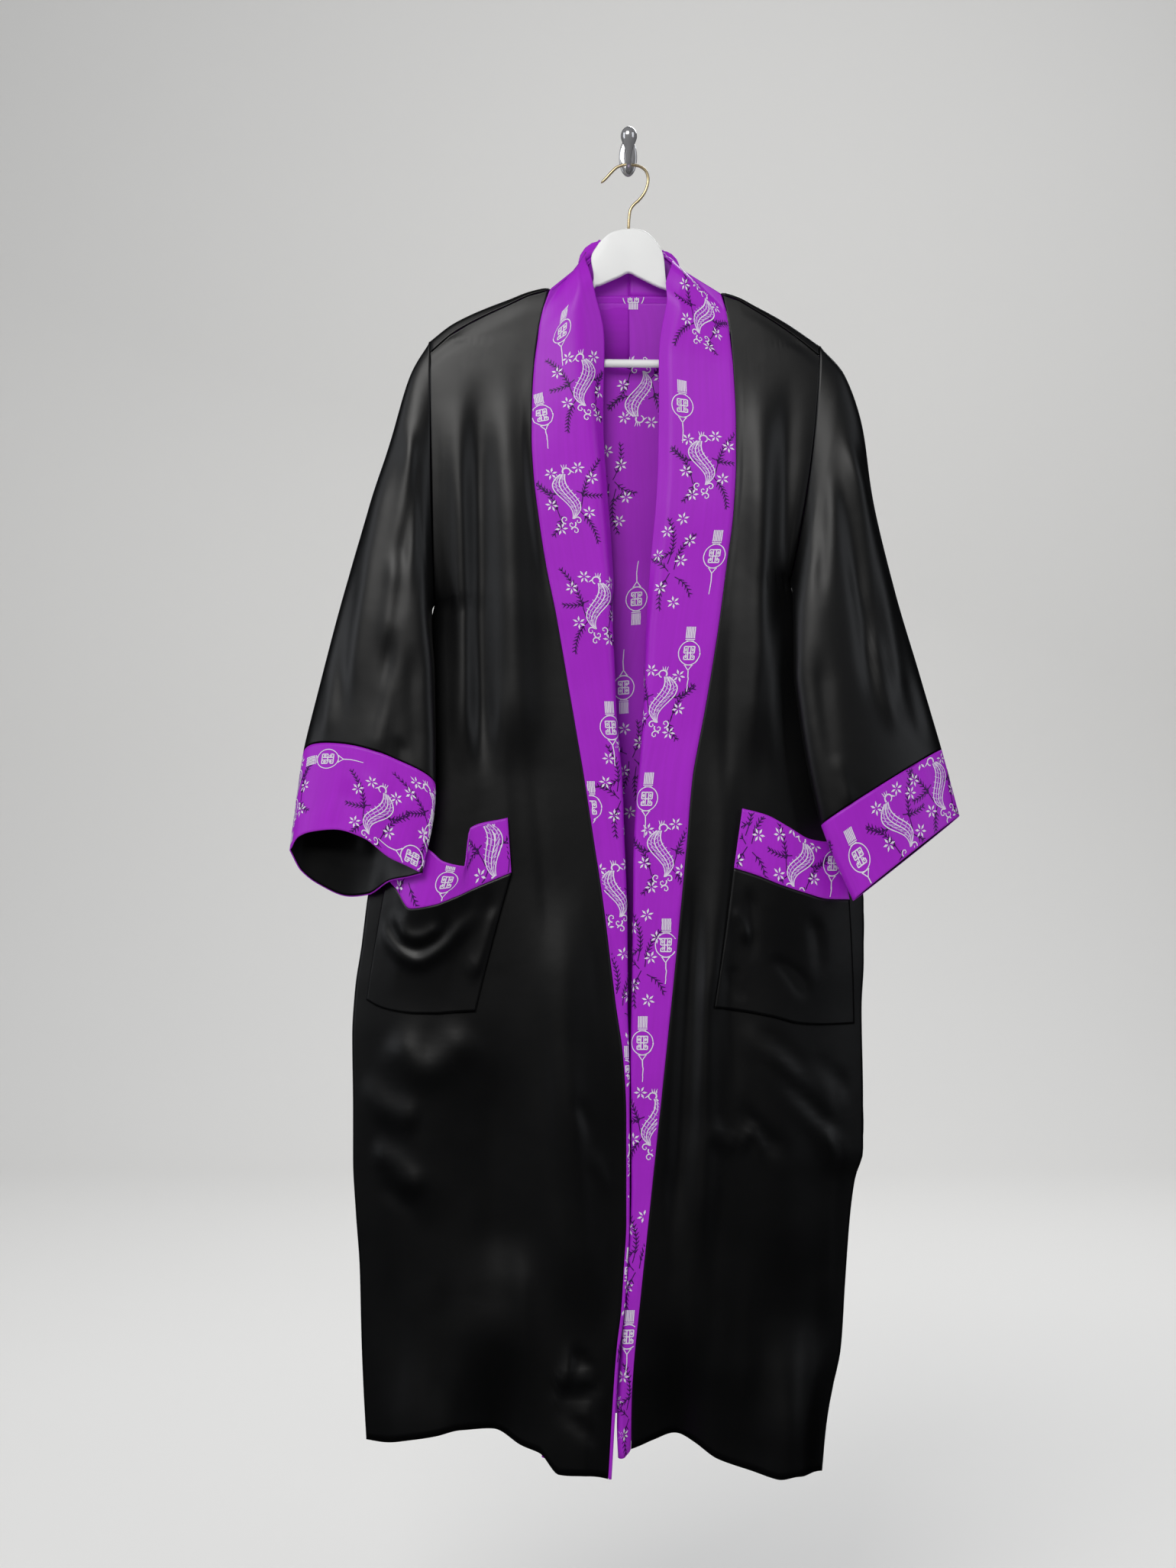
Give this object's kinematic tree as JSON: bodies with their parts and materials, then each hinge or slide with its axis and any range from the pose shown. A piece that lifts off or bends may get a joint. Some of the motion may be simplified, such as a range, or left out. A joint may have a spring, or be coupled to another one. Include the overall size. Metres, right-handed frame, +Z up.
{
  "type": "kimono robe on a hanger with a wall hook",
  "caption": "Long open satin kimono robe with wide sleeves, a printed collar band, cuffs and patch pockets, hung on a wooden hanger from a wall hook.",
  "frame": {"origin": "centre of the wall plate's back face, on the wall", "axes": "+X to the viewer's right, +Y into the wall, +Z up; the garment faces -Y"},
  "size_m": [0.7295, 0.0982, 1.462],
  "materials": {
    "black_satin": "soft satin with a cool sheen",
    "purple_satin": "printed satin with a lilac sheen",
    "white_paint": "white painted wood, semi-gloss",
    "brass_wire": "bright wire",
    "chrome": "polished"
  },
  "bodies": {
    "root": {"back": "black_satin", "front_left": "black_satin", "front_right": "black_satin", "sleeve_left": "black_satin", "sleeve_right": "black_satin", "facing_left": "black_satin", "facing_right": "black_satin", "pocket_left": "black_satin", "pocket_right": "black_satin", "back_lining": "purple_satin", "cuff_left": "purple_satin", "cuff_right": "purple_satin", "band_left": "purple_satin", "band_right": "purple_satin", "pocket_band_left": "purple_satin", "pocket_band_right": "purple_satin", "hanger_body": "white_paint", "hanger_bar": "white_paint", "hanger_wire": "brass_wire", "wall_plate": "chrome", "wall_prong": "chrome"}
  },
  "joints": []
}
